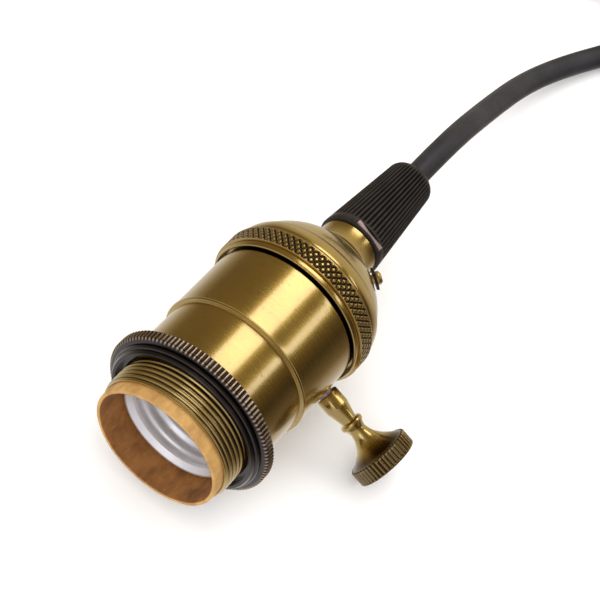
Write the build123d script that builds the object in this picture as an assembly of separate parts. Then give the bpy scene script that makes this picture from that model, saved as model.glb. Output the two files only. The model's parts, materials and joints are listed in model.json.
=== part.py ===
"""Brass E27 lampholder with a rotary turn-knob switch, shade ring, cord grip and flex.

Units are millimetres. The socket is designed about the X axis: x = 0 is the plane of the
mouth, +X runs from the mouth to the cord, and the switch knob points along -Y. At the end
it is rolled about X, so that it lies on the shade ring and the knob, and set on Z = 0.
"""
from build123d import *
from math import cos, pi, radians, sin, tan
import os

# ---- driving dimensions -------------------------------------------------------------
SHEET = 0.6                  # brass sheet thickness
RUN = 0.05                   # radial clearance of a running fit
GAP = 0.1                    # gap between parts that are assembled together

# insulating liner (vulcanised fibre sleeve)
LINER_R = 17.3
LINER_BORE_R = 16.3
LINER_END_X = 50.0

# outer shell
THREAD_PITCH = 1.41          # 18 threads to the inch
THREAD_R = 18.25             # crest of the external shade thread (36.5 mm)
THREAD_ROOT_R = 17.86
SHELL_MOUTH_X = 3.1
SHOULDER_X = 15.1
LOWER_R = 19.65
BEAD_X = 30.3
BEAD_R = 0.42
UPPER_R = 20.45
UPPER_END_X = 49.4
NECKED_R = 19.6
SHELL_END_X = 56.0

# shade ring
RING_FRONT_X = 9.55
RING_FLANGE_X = 11.9
RING_BACK_X = 14.95
RING_R = 23.28
RING_BORE_R = 18.4
RING_TEETH = 120
RING_TOOTH = 0.32

# E27 screw shell and lamp base
LIP_X = 7.8
LIP_R = 15.2
SOCKET_R = 13.3
SOCKET_WALL = 0.8
SOCKET_TOP_X = 9.0
SOCKET_LOW_X = 26.5
SOCKET_END_X = 30.4
BASE_R = 16.1
BASE_X = (30.4, 35.8)
HOUSING_X = (36.0, 56.0)

# rotary switch and knob, measured along the knob axis from the socket axis
KNOB_X = 44.7
SHAFT_R = 2.0
SHAFT_END = 27.5
ROTOR_R = 5.4
ROTOR_FLAT = 4.6
ROTOR_SPAN = (3.0, 9.0)
KNOB_SPAN = (21.2, 44.3)
KNOB_BARREL_R = 3.1
KNOB_FLARE_R = 7.45
KNOB_EASE = 0.5              # bevel round the knob's end
KNOB_R = 8.35
KNOB_TEETH = 46
KNOB_TOOTH = 0.35
SLOT_W = 7.2                 # keyhole slot in the shell and the liner

# cap, clamp ring and neck
CLAMP_X = (50.7, 57.6)
KNURL_X = (52.4, 56.7)
KNURL_R = 22.25
CAP_SHOULDER = (61.1, 20.85)
NECK_R = 8.25
NECK_END_X = 79.3
NECK_BORE_R = 5.0

# cord grip and cord
GRIP_X = (79.5, 109.2)
GRIP_BASE_R = 8.9
GRIP_TIP_R = 6.6
GRIP_RIBS = 44
CORD_R = 3.25
CORE_R = 1.15
CORD_END_X = 72.5            # where the sheath stops, inside the cap

# resting attitude
KNOB_TILT = 20.5             # the knob points this far below the horizontal
AXIS_Z = RING_R


# ---- helpers -------------------------------------------------------------------------
def turned(*corners):
    """Solid of revolution about the socket axis, from (x, radius) corners."""
    return revolve(make_face(Polyline(*corners, close=True)), Axis.X)


def tube(x0, x1, outer, inner):
    """Plain ring or tube along the socket axis."""
    return turned((x0, inner), (x1, inner), (x1, outer), (x0, outer))


def along_x(x0, x1, radius, y=0.0, z=0.0):
    """Cylinder parallel to the socket axis."""
    plane = Plane(origin=(x0, y, z), z_dir=(1, 0, 0))
    return extrude(plane * Circle(radius), x1 - x0)


def along_knob(low, high, radius, x=KNOB_X):
    """Cylinder about the knob axis; low and high are distances from the socket axis."""
    plane = Plane(origin=(x, -low, 0), z_dir=(0, -1, 0))
    return extrude(plane * Circle(radius), high - low)


def block(x, y, z):
    """Box from its three (low, high) spans."""
    size = [span[1] - span[0] for span in (x, y, z)]
    centre = [sum(span) / 2 for span in (x, y, z)]
    return Pos(*centre) * Box(*size)


TOOTH_TOP = 0.34             # share of the pitch across a tooth's top
TOOTH_ROOT = (0.5, 0.84)     # where in the pitch the root starts and ends


def toothed(plane, radius, depth, teeth, height):
    """Straight-knurled disc: a toothed outline extruded along the plane's normal."""
    corners = []
    root = radius - depth
    for tooth in range(teeth):
        for share, reach in ((0.0, radius), (TOOTH_TOP, radius), (TOOTH_ROOT[0], root), (TOOTH_ROOT[1], root)):
            turn = 2 * pi * (tooth + share) / teeth
            corners.append((reach * cos(turn), reach * sin(turn)))
    return extrude(plane * make_face(Polyline(*corners, close=True)), height)


def thread_ridge(root, crest, pitch, x0, x1):
    """Helical ridge on a cylinder about the socket axis."""
    foot = 0.1                # how far the ridge's section reaches into the wall
    crest_half = 0.12
    helix = Helix(pitch, x1 - x0, root, center=(x0, 0, 0), direction=(1, 0, 0))
    start = helix @ 0
    section_plane = Plane(origin=start, x_dir=(1, 0, 0), z_dir=helix % 0)
    outward = section_plane.y_dir.dot(Vector(0, start.Y, start.Z).normalized())
    side = 1 if outward > 0 else -1
    height = crest - root
    half = pitch * 0.36
    section = make_face(Polyline(
        (-half, -side * foot), (half, -side * foot),
        (crest_half, side * height), (-crest_half, side * height),
        close=True,
    ))
    return sweep(section_plane * section, path=helix, is_frenet=True)


# ---- socket body ---------------------------------------------------------------------
def insulating_liner():
    """Fibre sleeve that stands proud of the brass at the mouth, notched for the shaft."""
    sleeve = tube(0.0, LINER_END_X, LINER_R, LINER_BORE_R)
    return sleeve - shaft_slot(LINER_END_X + 1.0)


def shaft_slot(end_x):
    """Cutter for the open-ended slot that lets the switch shaft slide in."""
    far = UPPER_R + 2.0
    half = SLOT_W / 2
    straight = block((KNOB_X, end_x), (-far, -LINER_BORE_R / 2), (-half, half))
    return straight + along_knob(LINER_BORE_R / 2, far, half)


def outer_shell():
    """Turned brass shell: threaded mouth, two body diameters with a bead, necked end."""
    wall = turned(
        (SHELL_MOUTH_X, LINER_R + GAP), (SHOULDER_X, LINER_R + GAP),
        (SHOULDER_X + SHEET, LOWER_R - SHEET), (BEAD_X, LOWER_R - SHEET),
        (BEAD_X + SHEET, UPPER_R - SHEET), (UPPER_END_X - SHEET, UPPER_R - SHEET),
        (UPPER_END_X, NECKED_R - SHEET), (SHELL_END_X, NECKED_R - SHEET),
        (SHELL_END_X, NECKED_R), (UPPER_END_X + SHEET / 2, NECKED_R),
        (UPPER_END_X, UPPER_R), (BEAD_X, UPPER_R), (BEAD_X, LOWER_R),
        (SHOULDER_X, LOWER_R), (SHOULDER_X, THREAD_ROOT_R), (SHELL_MOUTH_X, THREAD_ROOT_R),
    )
    bead_plane = Plane(origin=(BEAD_X + BEAD_R, UPPER_R, 0), z_dir=(0, 0, 1))
    bead = revolve(bead_plane * Circle(BEAD_R), Axis.X)
    ridge = thread_ridge(
        THREAD_ROOT_R, THREAD_R, THREAD_PITCH, SHELL_MOUTH_X + THREAD_PITCH / 2, SHOULDER_X - THREAD_PITCH / 2
    )
    return wall + bead + ridge - shaft_slot(SHELL_END_X + 1.0)


def shade_ring():
    """Threaded ring that clamps a lampshade: two rounded lips and a knurled flange."""
    mouth_r = 19.6
    collar = turned(
        (RING_FRONT_X, mouth_r), (RING_FRONT_X, 20.3), (10.0, 20.9), (10.5, 20.9), (10.75, 20.5),
        (11.0, 21.3), (11.5, 21.5), (RING_FLANGE_X, 21.2), (RING_FLANGE_X, RING_BORE_R),
        (11.2, RING_BORE_R), (11.2, mouth_r),
    )
    flange = toothed(
        Plane(origin=(RING_FLANGE_X, 0, 0), z_dir=(1, 0, 0)), RING_R, RING_TOOTH, RING_TEETH,
        RING_BACK_X - RING_FLANGE_X,
    )
    return collar + flange - tube(RING_FLANGE_X, RING_BACK_X, RING_BORE_R, 0.0)


# ---- lamp socket ---------------------------------------------------------------------
def screw_shell():
    """Aluminium lamp shell: rolled lip, cylindrical wall and a bottom flange."""
    outer = SOCKET_R + SOCKET_WALL
    flange_r, step_r, foot_r = 9.4, SOCKET_R - 0.4, SOCKET_R - 0.9
    return turned(
        (LIP_X, SOCKET_R + 0.5), (LIP_X, LIP_R - 0.3), (LIP_X + 0.4, LIP_R), (LIP_X + 1.4, LIP_R),
        (LIP_X + 1.6, outer), (SOCKET_LOW_X + 1.0, outer), (SOCKET_END_X, outer - 0.8),
        (SOCKET_END_X, flange_r), (SOCKET_END_X - SOCKET_WALL, flange_r),
        (SOCKET_END_X - SOCKET_WALL, foot_r), (SOCKET_LOW_X, step_r),
        (SOCKET_LOW_X, SOCKET_R), (SOCKET_TOP_X, SOCKET_R),
    ) - shell_rivet_holes()


RIVET_Z = 11.0
RIVET_R = 1.0
RIVET_HEAD_R = 1.3
RIVET_HEAD_T = 0.7
RIVET_END_X = 34.0


def shell_rivet_holes():
    """Cutters for the two rivets that hold the screw shell."""
    hole = RIVET_R + RUN
    return [along_x(SOCKET_END_X - 1.5, RIVET_END_X + GAP, hole, z=side * RIVET_Z) for side in (-1, 1)]


def shell_rivets():
    """Two rivets from the screw shell's bottom flange into the lamp base."""
    rivets = []
    for side in (-1, 1):
        z = side * RIVET_Z
        top = SOCKET_END_X - SOCKET_WALL
        head = along_x(top - RIVET_HEAD_T, top, RIVET_HEAD_R, z=z)
        rivets.append(along_x(top, RIVET_END_X, RIVET_R, z=z) + head)
    return Compound(children=rivets)


SCREW_Z = 14.6
SCREW_R = 1.0
STRIP_T = 0.8                # thickness of the brass contact strips
STRIP_W = 2.5
LOAD_Z = -3.5
LIVE_Z = 3.5
CONTACT_Y = (-2.0, -1.2)
NEUTRAL_Y = (9.7, 10.5)
NEUTRAL_Z = -5.0
STRIP_SPARE = 0.15           # clearance of a strip in its slot


def strip_span(z, spare=0.0):
    """(low, high) across a contact strip at z."""
    return (z - STRIP_W / 2 - spare, z + STRIP_W / 2 + spare)


def strip_slots(x0, x1):
    """Cutters for the strips that run through the base and the switch housing."""
    slots = []
    for (low, high), z in ((CONTACT_Y, LOAD_Z), (NEUTRAL_Y, NEUTRAL_Z)):
        slots.append(block((x0, x1), (low - STRIP_SPARE, high + STRIP_SPARE), strip_span(z, STRIP_SPARE)))
    return slots


def assembly_holes(x0, x1):
    """Cutters for the two long assembly screws."""
    return [along_x(x0, x1, SCREW_R + RUN, z=side * SCREW_Z) for side in (-1, 1)]


def lamp_base():
    """Porcelain disc that carries the screw shell and the centre contact."""
    disc = along_x(*BASE_X, BASE_R)
    return disc - strip_slots(*BASE_X) - shell_rivet_holes() - assembly_holes(*BASE_X)


POCKET_X = (38.7, 56.0)
POCKET_Y = (-11.0, 4.0)
POCKET_Z = (-6.2, 6.2)
TERMINAL_X = (55.0, 55.8)
TERMINAL_Y = (5.0, 10.5)
TERMINAL_SCREW_Y = 7.6
TERMINAL_SCREW_Z = 5.0
TERMINAL_SCREW_R = 1.25
TERMINAL_SCREW_X = 50.2       # the tip of the terminal screws
TERMINAL_SIDE_Z = 7.4         # how far the terminal plates reach sideways


def switch_housing():
    """Phenolic block: a pocket for the rotor, a shaft bearing and seats for terminals."""
    body = along_x(*HOUSING_X, BASE_R)
    pocket = block(POCKET_X, POCKET_Y, POCKET_Z)
    bearing = along_knob(POCKET_Z[1], BASE_R + 1.0, SHAFT_R + RUN)
    seats = [
        block((TERMINAL_X[0] - GAP, POCKET_X[1]), (POCKET_Y[1] - 0.5, TERMINAL_Y[1] + GAP), span)
        for span in ((LIVE_Z - 1.4, TERMINAL_SIDE_Z + GAP), (-TERMINAL_SIDE_Z - GAP, NEUTRAL_Z + 2.5))
    ]
    screw_holes = [
        along_x(
            TERMINAL_SCREW_X - 2 * GAP, POCKET_X[1], TERMINAL_SCREW_R + RUN,
            y=TERMINAL_SCREW_Y, z=side * TERMINAL_SCREW_Z,
        ) for side in (-1, 1)
    ]
    slots = strip_slots(HOUSING_X[0], HOUSING_X[1])
    return body - pocket - bearing - seats - screw_holes - slots - assembly_holes(*HOUSING_X)


def switch_cover():
    """Fibre plate that closes the rotor's pocket."""
    return block((POCKET_X[1], 57.0), (POCKET_Y[0] - 0.4, POCKET_Y[1] - 0.3), (-6.5, 6.5))


CARRIER_X = (SHELL_END_X, SHELL_END_X + 1.0)
SCREW_TIP_X = 31.5            # the tip of the long assembly screws
SCREW_HEAD_T = 1.2


def carrier_plate():
    """Steel ring clamped between shell and cap, to which the long screws pull the switch."""
    return tube(*CARRIER_X, NECKED_R - GAP, 13.5) - assembly_holes(*CARRIER_X)


def assembly_screws():
    """Two long screws through the carrier plate, the switch housing and the lamp base."""
    screws = []
    for side in (-1, 1):
        z = side * SCREW_Z
        top = CARRIER_X[1] + SCREW_HEAD_T
        head = along_x(CARRIER_X[1], top, 2.0, z=z)
        slot = block((top - 0.5, top + GAP), (-2.1, 2.1), (z - 0.25, z + 0.25))
        screws.append(along_x(SCREW_TIP_X, CARRIER_X[1], SCREW_R, z=z) + head - slot)
    return Compound(children=screws)


def terminal_hole(side):
    """Cutter for one terminal screw."""
    return along_x(*TERMINAL_X, TERMINAL_SCREW_R + RUN, y=TERMINAL_SCREW_Y, z=side * TERMINAL_SCREW_Z)


def live_contact():
    """Brass strip from the live terminal down to the switch's first fixed contact."""
    plate = block(TERMINAL_X, TERMINAL_Y, (LIVE_Z - STRIP_W / 2, TERMINAL_SIDE_Z))
    bridge = block(TERMINAL_X, (CONTACT_Y[0], TERMINAL_Y[0]), strip_span(LIVE_Z))
    drop = block((KNOB_X - STRIP_W / 2, TERMINAL_X[0]), CONTACT_Y, strip_span(LIVE_Z))
    return plate + bridge + drop - terminal_hole(1)


def load_contact():
    """Brass strip from the switch's second contact to the foot under the centre contact."""
    foot_y = (-7.8, CONTACT_Y[1])
    foot_x = (SOCKET_END_X - 0.7, SOCKET_END_X)
    drop = block((foot_x[0], KNOB_X + STRIP_W / 2), CONTACT_Y, strip_span(LOAD_Z))
    foot = block(foot_x, foot_y, (LOAD_Z - STRIP_W / 2, STRIP_W))
    return drop + foot


def neutral_contact():
    """Brass strip from the neutral terminal to the screw shell's bottom flange."""
    plate = block(TERMINAL_X, (TERMINAL_Y[0], NEUTRAL_Y[1]), (-TERMINAL_SIDE_Z, NEUTRAL_Z + 2.4))
    drop = block((SOCKET_END_X, TERMINAL_X[0]), NEUTRAL_Y, strip_span(NEUTRAL_Z))
    return plate + drop - terminal_hole(-1)


def terminal_screws():
    """Two cheese-head terminal screws."""
    screws = []
    for side in (-1, 1):
        z = side * TERMINAL_SCREW_Z
        shank = along_x(TERMINAL_SCREW_X, TERMINAL_X[1], TERMINAL_SCREW_R, y=TERMINAL_SCREW_Y, z=z)
        head = along_x(TERMINAL_X[1], TERMINAL_X[1] + 1.6, 2.2, y=TERMINAL_SCREW_Y, z=z)
        slot = block(
            (TERMINAL_X[1] + 1.0, TERMINAL_X[1] + 1.7), (TERMINAL_SCREW_Y - 2.3, TERMINAL_SCREW_Y + 2.3),
            (z - 0.3, z + 0.3),
        )
        screws.append(shank + head - slot)
    return Compound(children=screws)


CONTACT_PIVOT = (29.2, -7.6)  # x, y of the bend line of the centre contact
CONTACT_RISE = 10.5           # degrees that the tongue stands up towards the lamp
CONTACT_LENGTH = 10.2
CONTACT_W = 4.4
CONTACT_T = 0.5
CONTACT_PAD_R = 1.7
CONTACT_PAD_RISE = 0.5


def centre_contact():
    """Springy brass tongue that presses on the lamp's tip."""
    half = CONTACT_W / 2
    tongue = block((-CONTACT_T, 0.0), (0.0, CONTACT_LENGTH), (-half, half))
    pad = along_x(-CONTACT_T - CONTACT_PAD_RISE, -CONTACT_T, CONTACT_PAD_R, y=CONTACT_LENGTH - 2.3)
    bend = Cylinder(CONTACT_T, CONTACT_W)
    return Pos(*CONTACT_PIVOT, 0) * Rot(Z=CONTACT_RISE) * (tongue + pad + bend)


# ---- switch movement -----------------------------------------------------------------
def switch_rotor():
    """Phenolic cam with four flats that snaps past the detent spring."""
    plane = Plane(origin=(KNOB_X, -ROTOR_SPAN[0], 0), z_dir=(0, -1, 0))
    length = ROTOR_SPAN[1] - ROTOR_SPAN[0]
    side = 2 * ROTOR_FLAT
    cam = extrude(plane * Circle(ROTOR_R), length) & extrude(plane * Rectangle(side, side), length)
    return cam - along_knob(ROTOR_SPAN[0] + 1.0, ROTOR_SPAN[1], SHAFT_R)


def bridging_contact():
    """Brass bar on the rotor's inner face that joins the two fixed contacts."""
    low = ROTOR_SPAN[0] - 0.8
    half = STRIP_W / 2
    return block((KNOB_X - half, KNOB_X + half), (-ROTOR_SPAN[0], -low), (-4.8, 4.8))


def detent_spring():
    """Leaf spring across the pocket above the rotor."""
    x = KNOB_X + ROTOR_R + 0.25
    fit = 0.02
    return block((x, x + 0.4), (-8.5, -5.5), (POCKET_Z[0] + fit, POCKET_Z[1] - fit))


def switch_shaft():
    """Steel shaft from the rotor, through the housing and the slot, into the knob."""
    return along_knob(ROTOR_SPAN[0] + 1.0, SHAFT_END, SHAFT_R)


def turn_knob():
    """Turned brass knob: barrel, thin neck, bead, concave flare and a knurled rim."""
    low, high = KNOB_SPAN
    rim = high - 4.3
    barrel, flare = KNOB_BARREL_R, KNOB_FLARE_R
    bead, waist, foot = (30.7, 3.15), (29.8, 2.05), (31.7, 2.1)
    outline = Wire([
        *Polyline((low, 0), (low, barrel), (25.5, barrel), waist).edges(),
        ThreePointArc(waist, bead, foot),
        Spline(foot, (36.0, 3.85), (rim, flare), tangents=((1, 0.05), (0.45, 1))),
        *Polyline((rim, flare), (high - 0.4, flare), (high, flare - 0.4), (high, 0), (low, 0)).edges(),
    ])
    spun = revolve(make_face(outline), Axis.X)
    rim_plane = Plane(origin=(rim, 0, 0), z_dir=(1, 0, 0))
    knurl = toothed(rim_plane, KNOB_R, KNOB_TOOTH, KNOB_TEETH, high - rim)
    bevel = high - KNOB_EASE
    edge = turned((bevel, KNOB_R + 1), (bevel, KNOB_R), (high, KNOB_R - KNOB_EASE), (high, KNOB_R + 1))
    bore = along_x(low - 1, SHAFT_END, SHAFT_R + 0.02)
    place = Pos(KNOB_X, 0, 0) * Rot(Z=-90)
    return place * (spun + (knurl - edge) - bore)


# ---- cap -----------------------------------------------------------------------------
DOME_LOW = (61.45, 20.35)
DOME_MIDDLE = (66.8, 17.0)
DOME_HIGH = (71.4, 11.9)
NECK_FOOT = (75.0, NECK_R)


def cap():
    """Spun brass cap: skirt, shoulder, dome with a crease, and a bored neck."""
    shoulder_x, shoulder_r = CAP_SHOULDER
    skirt_r, skirt_bore = 20.5, NECKED_R + GAP
    outer = [
        *Polyline(
            (53.2, skirt_bore), (53.2, skirt_r), (CLAMP_X[1], skirt_r), (CLAMP_X[1], 21.6),
            (59.5, 21.35), (shoulder_x, shoulder_r),
        ).edges(),
        *Polyline((shoulder_x, shoulder_r), DOME_LOW).edges(),
        ThreePointArc(DOME_LOW, DOME_MIDDLE, DOME_HIGH),
        ThreePointArc(DOME_HIGH, (72.6, 9.8), NECK_FOOT),
        *Polyline(
            NECK_FOOT, (NECK_END_X, NECK_R), (NECK_END_X, NECK_BORE_R), (71.0, NECK_BORE_R),
            (71.0, 9.0), (69.4, 11.6), (65.9, 16.2), (61.5, 19.2), (57.2, 19.7),
            (53.2, skirt_bore),
        ).edges(),
    ]
    return revolve(make_face(Wire(outer)), Axis.X) - earth_hole()


def clamp_ring():
    """Knurled ring that screws the cap to the shell, with a lip over the shell."""
    bore = 20.6
    return turned(
        (CLAMP_X[0], 20.8), (CLAMP_X[0], 21.2), (51.1, 21.5), (52.2, 21.5), (KNURL_X[0], KNURL_R),
        (KNURL_X[1], KNURL_R), (KNURL_X[1] + 0.3, 21.9), (CLAMP_X[1], 21.9), (CLAMP_X[1], bore),
        (52.4, bore), (52.2, 20.8),
    )


EARTH_AT = (69.9, 14.0)       # x and radius of the earth screw's seat on the dome
EARTH_LEAN = 48.0             # degrees from the radius towards the cord
EARTH_TURN = -233.5           # place round the cap, from +Y towards +Z, before the roll
EARTH_SCREW_R = 1.25
WASHER_R = 3.0
WASHER_T = 0.8
WASHER_LIFT = 0.35            # the washer bears on the dome at its rim


def earth_plane(height):
    """Plane across the earth screw, at a height above the dome."""
    turn = radians(EARTH_TURN)
    lean = radians(EARTH_LEAN)
    spoke = Vector(0, cos(turn), sin(turn))
    normal = Vector(1, 0, 0) * sin(lean) + spoke * cos(lean)
    seat = Vector(EARTH_AT[0], 0, 0) + spoke * EARTH_AT[1]
    return Plane(origin=seat + normal * height, z_dir=normal)


def earth_hole():
    """Cutter for the earth screw."""
    return extrude(earth_plane(-4.0) * Circle(EARTH_SCREW_R + RUN), 6.0)


def earth_washer():
    """Cup washer with a toothed rim under the earth screw."""
    plane = earth_plane(WASHER_LIFT)
    disc = toothed(plane, WASHER_R, 0.5, 12, WASHER_T)
    return disc - extrude(plane * Circle(EARTH_SCREW_R + RUN), 2.0)


def earth_screw():
    """Small slotted pan-head screw."""
    under_head = WASHER_LIFT + WASHER_T
    shank = extrude(earth_plane(-3.2) * Circle(EARTH_SCREW_R), 3.2 + under_head)
    head = extrude(earth_plane(under_head) * Circle(1.75), 1.3)
    slot = extrude(earth_plane(under_head + 0.7) * Rectangle(0.5, 4.0), 1.0)
    return shank + head - slot


# ---- cord grip -----------------------------------------------------------------------
SPIGOT_X = 72.8
GRIP_ROUND = 2.6              # length of the rounded tip
PLATE_X = (80.1, 81.4)
PLATE_W = 9.4
PLATE_LOW = CORD_R + 1.2      # depth of the slot, as a distance from the axis
PLATE_HIGH = 8.2
PLATE_TURN = 95.5              # place of the slot round the grip, before the roll


def slot_frame(part):
    """Turns a part made about +Y to the side of the grip where the slot is."""
    return Rot(X=PLATE_TURN) * part


def cord_grip():
    """Ribbed, tapered grip with a threaded spigot, a round tip and a slot for its plate."""
    base_x, tip_x = GRIP_X
    bore = CORD_R + GAP
    face_r = GRIP_TIP_R - 2.4
    body = revolve(make_face(Wire([
        *Polyline(
            (SPIGOT_X, bore), (SPIGOT_X, NECK_BORE_R - RUN), (NECK_END_X + GAP, NECK_BORE_R - RUN),
            (base_x, GRIP_BASE_R), (tip_x - GRIP_ROUND, GRIP_TIP_R),
        ).edges(),
        ThreePointArc((tip_x - GRIP_ROUND, GRIP_TIP_R), (tip_x - 0.75, GRIP_TIP_R - 0.8), (tip_x, face_r)),
        *Polyline((tip_x, face_r), (tip_x, bore), (SPIGOT_X, bore)).edges(),
    ])), Axis.X)
    half = PLATE_W / 2
    slot = block((PLATE_X[0] - RUN, PLATE_X[1] + RUN), (PLATE_LOW, 12.0), (-half, half))
    return body - rib_grooves() - slot_frame(slot)


def rib_grooves():
    """Cutters for the fine grooves between the grip's ribs, following its taper."""
    start, end = GRIP_X[0] + 2.7, GRIP_X[1] - 2.2
    fall = (GRIP_BASE_R - GRIP_TIP_R) / (GRIP_X[1] - GRIP_ROUND - GRIP_X[0])
    depth = 0.32
    low_r = GRIP_BASE_R - fall * (start - GRIP_X[0]) - depth
    high_r = GRIP_BASE_R - fall * (end - GRIP_X[0]) - depth
    outline = make_face(Polyline((start, low_r), (end, high_r), (end, 9.5), (start, 9.5), close=True))
    groove = extrude(outline, 0.24, both=True)
    return [Rot(X=360 * rib / GRIP_RIBS) * groove for rib in range(GRIP_RIBS)]


def grip_lock_plate():
    """Zinc-plated plate pushed into the grip's slot, which bites on the cord's sheath."""
    half = PLATE_W / 2 - GAP
    return slot_frame(block(PLATE_X, (PLATE_LOW + GAP, PLATE_HIGH), (-half, half)))


# ---- conductors inside the holder ----------------------------------------------------
def cord_in_grip():
    """Stretch of sheathed cord held inside the neck and the grip."""
    return along_x(CORD_END_X, GRIP_X[1], CORD_R)


def core(points, radius):
    """Insulated core along a route of straight runs and arcs."""
    bends = [bend_radius(*points[i - 1:i + 2]) for i in range(1, len(points) - 1)]
    route = FilletPolyline(*points, radius=bends)
    plane = Plane(origin=route @ 0, z_dir=route % 0)
    return sweep(plane * Circle(radius), path=route)


def inner_core(side):
    """Core from the cord's end to one terminal screw."""
    end = Vector(57.6, TERMINAL_SCREW_Y + 3.6, side * TERMINAL_SCREW_Z)
    return core([
        Vector(CORD_END_X, 1.0, side * 1.6), Vector(68.0, 1.0, side * 1.6), Vector(63.0, 7.0, side * 4.0), end,
    ], CORE_R)


def live_core():
    """Brown core to the live terminal."""
    return inner_core(1)


def neutral_core():
    """Blue core to the neutral terminal."""
    return inner_core(-1)


def earth_core():
    """Green and yellow core to the earth screw inside the dome."""
    turn = radians(EARTH_TURN)
    reach = 9.2
    return core([
        Vector(CORD_END_X, -1.9, 0.0), Vector(69.0, -1.9, 0.0),
        Vector(66.0, 5.5 * cos(turn), 5.5 * sin(turn)), Vector(64.8, reach * cos(turn), reach * sin(turn)),
    ], CORE_R)


# ---- free cord, in the frame of the finished part ------------------------------------
COIL_CENTRE = (266.0, 17.0)   # x from the mouth, y
TURN_R = (32.0, 38.5)         # inner and outer turns
TIE_T = 0.8
COIL_LOW = TIE_T
COIL_HIGH = TIE_T + 4 * CORD_R
ENTRY_X = 243.0
ENTRY_Y = COIL_CENTRE[1] - TURN_R[1]
ENTRY_Z = COIL_LOW + CORD_R

CORD_ROUTE = [                # x from the mouth, y from the socket axis, z above the surface
    (GRIP_X[1], 0.0, AXIS_Z),
    (126.0, 0.0, AXIS_Z),
    (149.0, 0.2, 15.6),
    (172.0, -0.6, 8.6),
    (190.0, -4.8, 4.6),
    (206.0, -12.0, 3.5),
    (224.0, ENTRY_Y, ENTRY_Z),
    (ENTRY_X, ENTRY_Y, ENTRY_Z),
]


def bend_radius(before, at, after):
    """Radius of the largest arc that the two runs at a corner leave room for."""
    into, out = Vector(at) - Vector(before), Vector(after) - Vector(at)
    half_turn = radians(into.get_angle(out)) / 2
    return 0.45 * min(into.length, out.length) / tan(half_turn)


def cord_tube():
    """The free stretch of cord, from the grip to the coil."""
    bends = [bend_radius(*CORD_ROUTE[i - 1:i + 2]) for i in range(1, len(CORD_ROUTE) - 1)]
    route = FilletPolyline(*CORD_ROUTE, radius=bends)
    plane = Plane(origin=route @ 0, z_dir=route % 0)
    solid = sweep(plane * Circle(CORD_R), path=route)
    print("cord bend radii:", [round(radius, 1) for radius in bends])
    print("cord volume, section x length:", round(solid.volume, 1), round(pi * CORD_R ** 2 * route.length, 1))
    return solid


COIL_OPEN = (62.0, 2.0)       # the sector, in degrees before the entry, where cores lie


def ring_about_coil(low, high, inner, outer):
    """Upright ring about the coil's centre."""
    base = Plane(origin=(*COIL_CENTRE, low))
    return extrude(base * (Circle(outer) - Circle(inner)), high - low)


def cord_coil():
    """Outer shape of the tied coil, with its entry and the open end of its top layer."""
    inner, outer = TURN_R[0] - CORD_R, TURN_R[1] + CORD_R
    body = ring_about_coil(COIL_LOW, COIL_HIGH, inner, outer)
    centre = Vector(*COIL_CENTRE, COIL_LOW + 2 * CORD_R)
    first, last = (radians(270 - turn) for turn in COIL_OPEN)
    far = outer + 15.0
    sector = make_face(Polyline(
        centre, centre + Vector(cos(first), sin(first)) * far, centre + Vector(cos(last), sin(last)) * far,
        close=True,
    ))
    wedge = extrude(sector, 2 * CORD_R + 1, dir=(0, 0, 1))
    open_top = wedge - ring_about_coil(0.0, COIL_HIGH + 2, GAP, TURN_R[1] - CORD_R)
    plane = Plane(origin=(ENTRY_X, ENTRY_Y, ENTRY_Z), z_dir=(1, 0, 0))
    entry = extrude(plane * Circle(CORD_R), COIL_CENTRE[0] - ENTRY_X)
    return body - open_top + entry


TIE_TURN = 60.0
TIE_W = 4.5


def coil_tie():
    """Band round the coil's bundle of turns."""
    inner, outer = TURN_R[0] - CORD_R, TURN_R[1] + CORD_R
    middle = (inner + outer) / 2
    width, height = outer - inner, COIL_HIGH - COIL_LOW
    ring = Box(width + 2 * TIE_T, TIE_W, height + 2 * TIE_T) - Box(width + 0.4, TIE_W + 1, height + 0.02)
    place = Pos(*COIL_CENTRE, (COIL_LOW + COIL_HIGH) / 2) * Rot(Z=TIE_TURN) * Pos(middle, 0, 0)
    return place * ring


CORE_PLACES = ((-1.2, 0.0), (1.2, 0.0), (0.0, 2.08))   # beside each other, and one on top
CORE_END_TURNS = (16.5, 27.0, 22.5)   # degrees before the entry at which each core ends
FERRULE_R = 0.9
FERRULE_LENGTH = 8.0


def coil_point(radius, turn, z):
    """Point at a radius and an angle about the coil's centre."""
    angle = radians(turn)
    return Vector(COIL_CENTRE[0] + radius * cos(angle), COIL_CENTRE[1] + radius * sin(angle), z)


def core_path(index):
    """Arc followed by one stripped core, from the sheath's end."""
    aside, above = CORE_PLACES[index]
    radius = TURN_R[1] + aside
    z = COIL_LOW + 2 * CORD_R + CORE_R + above
    turns = (270 - COIL_OPEN[0], 270 - (COIL_OPEN[0] + CORE_END_TURNS[index]) / 2, 270 - CORE_END_TURNS[index])
    return ThreePointArc(*[coil_point(radius, turn, z) for turn in turns])


def end_core(index):
    """One stripped core at the cord's far end."""
    path = core_path(index)
    return sweep(Plane(origin=path @ 0, z_dir=path % 0) * Circle(CORE_R), path=path)


def core_ferrules():
    """Crimped ferrules on the three stripped cores."""
    ferrules = []
    for index in range(len(CORE_PLACES)):
        path = core_path(index)
        plane = Plane(origin=path @ 1, z_dir=path % 1)
        ferrules.append(extrude(plane * Circle(FERRULE_R), FERRULE_LENGTH))
    return Compound(children=ferrules)


# ---- assembly ------------------------------------------------------------------------
def lowest_knob_reach():
    """How far the knob's rim reaches sideways from the socket axis, after the roll."""
    tilt = radians(KNOB_TILT)
    return KNOB_SPAN[1] * cos(tilt) + (KNOB_R - KNOB_EASE) * sin(tilt)


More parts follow.
